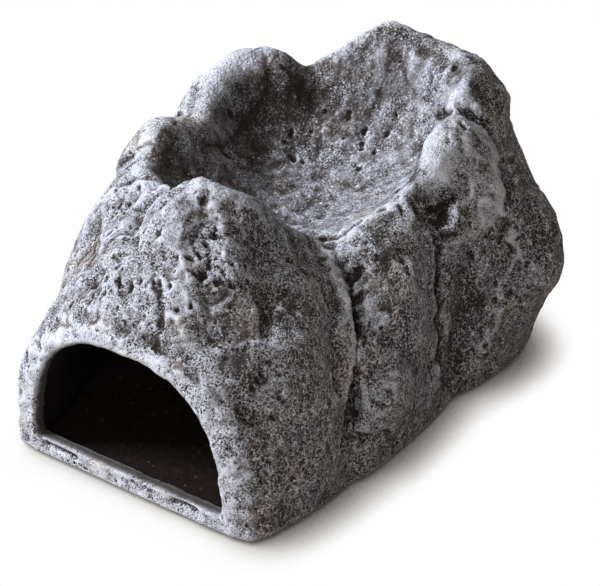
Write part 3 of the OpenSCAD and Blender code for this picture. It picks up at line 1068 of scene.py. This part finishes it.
def painted_resin():
    """A charcoal coat with pale grey brushed over what stands out, and painted light and shade."""
    f = Finish("painted_resin")
    # Paler on edges where the brush catches, darker in hollows: base coat left there, and painted shade
    relief_paint_and_shade = f.weighed(0, edge=0.18, hollow=-0.26)
    mottle = f.cloud(size=7, detail=7, roughness=0.75, stretch=LONG_GRAIN, shift=6)
    rough = f.split(f.cloud(size=10, detail=3, shift=3), half=0.12, start=0.25, end=1.1)
    grain = f.cloud(size=0.7, detail=1, roughness=0.8, shift=5)
    veins = brushed_veins(f)
    pit = painted_pits(f)
    beads, painted_glint = basin_beads(f)
    patchy = f.cloud(size=9, detail=4, roughness=0.7, shift=31)
    off_basin = f.weighed(1, basin=-1)
    patch = f.between(patchy, low=PATCH_LEVEL, high=0.13) * off_basin
    patch_edge = f.between(abs(patchy - PATCH_LEVEL), low=0.025, high=0) * off_basin
    brushed = f.split(mottle + RELIEF_IN_BRUSHING * relief_paint_and_shade, half=0.14, start=-0.5, end=0.5)
    broad = f.weighed(0.36, shade=-0.12, basin=-0.1, band=0.4) * brushed
    lines = (LEAST_VEINS + rough) * veins * f.weighed(0.6, shade=1.4) * f.weighed(1, basin=-0.85)
    speckle = f.weighed(3.5, shade=-1.1) * rough * grain * f.weighed(1, basin=-0.4)
    fine = (speckle + lines + PATCH_LINES * patch_edge) * (1 - PATCH_CALM * patch)
    # Thinner paint on the shade side is painted shade
    level = f.weighed(0.48, shade=-0.31, coat=1, band=0.34, basin=-0.03) + relief_paint_and_shade + broad
    # Pits are darker: base coat left in them, and painted shade
    level = level + fine * f.weighed(1, band=1.1) - f.weighed(0.5, shade=-0.4) * pit
    level = level + beads * (BEAD_LEVEL + PAINTED_GLINT_LEVEL * painted_glint)
    # Warmer at random and in patches, and a little warmer on the shade side as painted warm shade
    warm = f.cloud(size=16, detail=3, shift=23) + f.weighed(0, shade=0.1, band=-0.12)
    warmth_with_shade_tint = f.between(warm + PATCH_WARMTH * patch, low=0.0, high=0.24)
    colour = f.blend(warmth_with_shade_tint, f.ramp(level, COOL_COATS), f.ramp(level, WARM_COATS))
    # The lip and the cave: their coats, darkened with painted shade
    colour = f.blend(f.field("lip"), colour, LIP_COAT_AND_SHADE)
    colour = f.blend(f.field("cave"), colour, CAVE_COAT_AND_SHADE)
    bare = f.blend(f.split(mottle, half=0.2), CAST_DARK, CAST_PALE)
    colour = f.blend(f.field("under"), colour, bare)
    height = GRAIN_BUMP * rough * grain + VEIN_BUMP * rough * veins - PIT_BUMP * pit
    height = (height + BEAD_BUMP * beads + MOTTLE_BUMP * mottle) * f.weighed(1, lip=-1)
    return f.done(colour, roughness=0.78, gloss=0.2, height=height)


# Depths below the plate's top, in millimetres, where the cave's dark coat with painted shade is full
# and where it starts
COAT_FULL = 0.2
COAT_START = 0.7


def cast_resin():
    """Bare charcoal resin below, and on its upper face the cave's dark coat with painted shade."""
    f = Finish("base_resin")
    swirl = f.cloud(size=14, detail=5, roughness=0.6, stretch=(1, 2.2, 1))
    grain = f.cloud(size=2.2, detail=4, roughness=0.65, shift=1)
    speck, number = f.cells(size=3.0, ragged=1.0)
    dust = f.between(speck, low=0.3, high=0.1) * f.between(number, low=0.75, high=0.8)
    bubble, count = f.cells(size=2.6, ragged=0.3, shift=8)
    holes = f.between(bubble, low=0.22, high=0.12) * f.between(count, low=0.7, high=0.72)
    cast = f.blend(f.split(swirl + GRAIN_IN_SWIRL * grain, half=0.2), CAST_DARK, CAST_PALE)
    coat = f.blend(f.between(grain, low=-0.1, high=0.2), CAVE_COAT_AND_SHADE, CAVE_WORN)
    coat = f.blend(dust, coat, CAVE_DUST)
    high = f.node("SeparateXYZ", {0: f.place}).outputs["Z"]
    top = PLATE_HIGH[2]
    floor_of_cave = f.between(high, low=top - COAT_START, high=top - COAT_FULL)
    # Bubble holes are near black: painted shade
    colour = f.blend(floor_of_cave, f.blend(holes, cast, CAVE_COAT_AND_SHADE), coat)
    height = CAST_GRAIN * grain + DUST_BUMP * dust - HOLE_BUMP * holes
    return f.done(colour, roughness=0.8, gloss=0.1, height=height)


def cured_adhesive():
    """A tan-grey bead with soft ripples and a few bubbles, under the cave's dark coat and painted shade
    where it shows.
    """
    f = Finish("adhesive")
    ripple = f.cloud(size=3.5, detail=3, roughness=0.5)
    bubble, count = f.cells(size=1.8, ragged=0.4, shift=3)
    bubbles = f.between(bubble, low=0.25, high=0.15) * f.between(count, low=0.8, high=0.82)
    colour = f.blend(f.split(ripple, half=0.15), GLUE_DARK, GLUE_PALE)
    colour = f.blend(bubbles, colour, GLUE_DARK)
    facing = f.node("NewGeometry").outputs["Normal"]
    upright = Wire(f, f.node("SeparateXYZ", {0: facing}).outputs["Z"])
    colour = f.blend(f.between(upright, low=-0.7, high=-0.4), colour, CAVE_COAT_AND_SHADE)
    sheen = f.split(ripple, half=0.2, start=0.32, end=0.48)
    height = RIPPLE_BUMP * ripple - BUBBLE_BUMP * bubbles
    return f.done(colour, roughness=sheen, gloss=0.45, height=height)


def closed_cell_foam():
    """Black foam with fine cells and a little dust."""
    f = Finish("pad_foam")
    cell, _ = f.cells(size=0.45, ragged=0.2)
    dust = f.between(f.cloud(size=4, detail=4, roughness=0.7, shift=2), low=0.02, high=0.2)
    colour = f.blend(f.between(cell, low=0.2, high=0.7), FOAM_DARK, FOAM_PALE)
    colour = f.blend(DUST_SHARE * dust, colour, FOAM_DUST)
    height = CELL_BUMP * f.between(cell, low=0.1, high=0.7)
    return f.done(colour, roughness=0.86, gloss=0.25, height=height)


def add_piece(name, mesh, material, node):
    """A piece that rides on the body and stands for a CAD node."""
    piece = add_object(name, mesh)
    mesh.materials.append(material)
    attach(piece, "root")
    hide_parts(node)
    return piece


def make_rock():
    return add_piece("rock_skin", sculpt_rock(), painted_resin(), "rock_shell")


def make_base():
    """The plate and the bond, as they are in the frame, in their own finishes."""
    for name, material in (("base_plate", cast_resin()), ("bond_bead", cured_adhesive())):
        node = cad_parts[name]
        node.data.materials.clear()
        node.data.materials.append(material)


# Side of a foot pad from the ground up: millimetres past its radius, and share of its height
PAD_SIDE = [(-0.7, 0), (-0.2, 0.12), (0.25, 0.3), (0, 0.6), (0, 1)]
PAD_STEPS = 48
FLAT_TURN = 0.95


def pad_mesh(name, low, high):
    """A foam foot in a box, pressed a little fuller between the plate and the ground."""
    middle = (low + high) / 2
    radius = (high.x - low.x) / 2
    tall = high.z - low.z
    side = [(radius + past * MM, share * tall) for past, share in PAD_SIDE]
    section = [(0, 0)] + side + [(0, tall)]
    build = bmesh.new()
    points = [build.verts.new((middle.x + out, middle.y, low.z + up)) for out, up in section]
    edges = [build.edges.new(pair) for pair in zip(points, points[1:])]
    axis = (middle.x, middle.y, 0)
    bmesh.ops.spin(build, geom=points + edges, cent=axis, axis=(0, 0, 1), angle=radians(360),
                   steps=PAD_STEPS, use_merge=True)
    bmesh.ops.remove_doubles(build, verts=build.verts, dist=WELD)
    bmesh.ops.recalc_face_normals(build, faces=build.faces)
    for face in build.faces:
        face.smooth = abs(face.normal.z) < FLAT_TURN
    mesh = bpy.data.meshes.new(name)
    build.to_mesh(mesh)
    build.free()
    return mesh


def make_pads():
    material = closed_cell_foam()
    for corner in ("front_left", "front_right", "back_left", "back_right"):
        low, high = (Vector(end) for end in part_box("foot_pad_" + corner))
        mesh = pad_mesh("pad_" + corner, low, high)
        pad = add_piece("pad_" + corner, mesh, material, "foot_pad_" + corner)


def make_camera():
    data = bpy.data.cameras.new("camera")
    data.lens = LENS
    data.sensor_width = SENSOR
    data.sensor_fit = "HORIZONTAL"
    data.clip_end = 20
    camera = add_object("camera", data)
    camera.location = CAMERA_PLACE
    camera.rotation_euler = CAMERA_TURN
    bpy.context.scene.camera = camera


# Light: a cool key from the left, a weak warm fill from the front and a dim warm room
LAMP_AIM = Vector((0, 0, 0.05))
ROOM_COLOUR = (1.0, 0.90, 0.83, 1)
WHITE = (1, 1, 1, 1)


def add_lamp(name, place, size, power, colour):
    """A round lamp, turned to the object."""
    data = bpy.data.lights.new(name, "AREA")
    data.shape = "DISK"
    data.size = size
    data.energy = power
    data.color = colour
    lamp = add_object(name, data)
    lamp.location = place
    lamp.rotation_euler = (LAMP_AIM - Vector(place)).to_track_quat("-Z", "Y").to_euler()


def make_light():
    """Two lamps in a room that lights dimly but looks white."""
    add_lamp("key", place=(-1.3, -0.75, 1.1), size=0.6, power=48, colour=(0.92, 0.94, 1.0))
    add_lamp("fill", place=(0.55, -1.7, 1.2), size=0.5, power=10, colour=(1.0, 0.93, 0.88))
    world = bpy.data.worlds.new("studio")
    bpy.context.scene.world = world
    room = Nodes(world)
    dim = room.node("Background", {"Color": ROOM_COLOUR, "Strength": 0.12})
    white = room.node("Background", {"Color": WHITE})
    room.show("World Output", lit=dim, shown=white)


# Floor, in metres: a painted shadow, darker where the sky toward the key lamp is closed within a reach
FLOOR_SIZE = 6
FLOOR_COLOUR = (0.50, 0.47, 0.44, 1)
SHADOW_REACH = 0.021
SHADOW_LEAN = (-1.1, -0.25, 0)
SHADOW_TINT = (0.92, 0.84, 0.77, 1)


def floor_finish():
    """White to the eye, grey to the light, with a soft painted shadow close to the object."""
    f = Finish("floor")
    upright = f.node("NewGeometry").outputs["Normal"]
    toward_key = f.vector("NORMALIZE", f.vector("ADD", upright, SHADOW_LEAN), (0, 0, 0))
    inputs = {"Distance": SHADOW_REACH, "Normal": toward_key}
    open_sky = f.node("AmbientOcclusion", inputs, samples=6)
    # Painted shadow: the floor's glow is dimmed where the object closes the sky toward the key lamp
    light = f.between(open_sky.outputs["AO"], low=0.24, high=0.9, start=0.02, end=1.0)
    tint = f.blend(light, SHADOW_TINT, WHITE)
    glow_with_painted_shadow = f.node("Emission", {"Color": tint, "Strength": light})
    f.show("Material Output", lit=f.surface, shown=glow_with_painted_shadow)
    return f.done(FLOOR_COLOUR, roughness=0.9, gloss=0.1)


def make_floor():
    build = bmesh.new()
    bmesh.ops.create_grid(build, x_segments=1, y_segments=1, size=FLOOR_SIZE)
    mesh = bpy.data.meshes.new("floor")
    build.to_mesh(mesh)
    build.free()
    mesh.materials.append(floor_finish())
    floor = add_object("floor", mesh)


bpy.context.scene.view_settings.view_transform = "Standard"
make_camera()
make_rock()
make_base()
make_pads()
make_light()
make_floor()
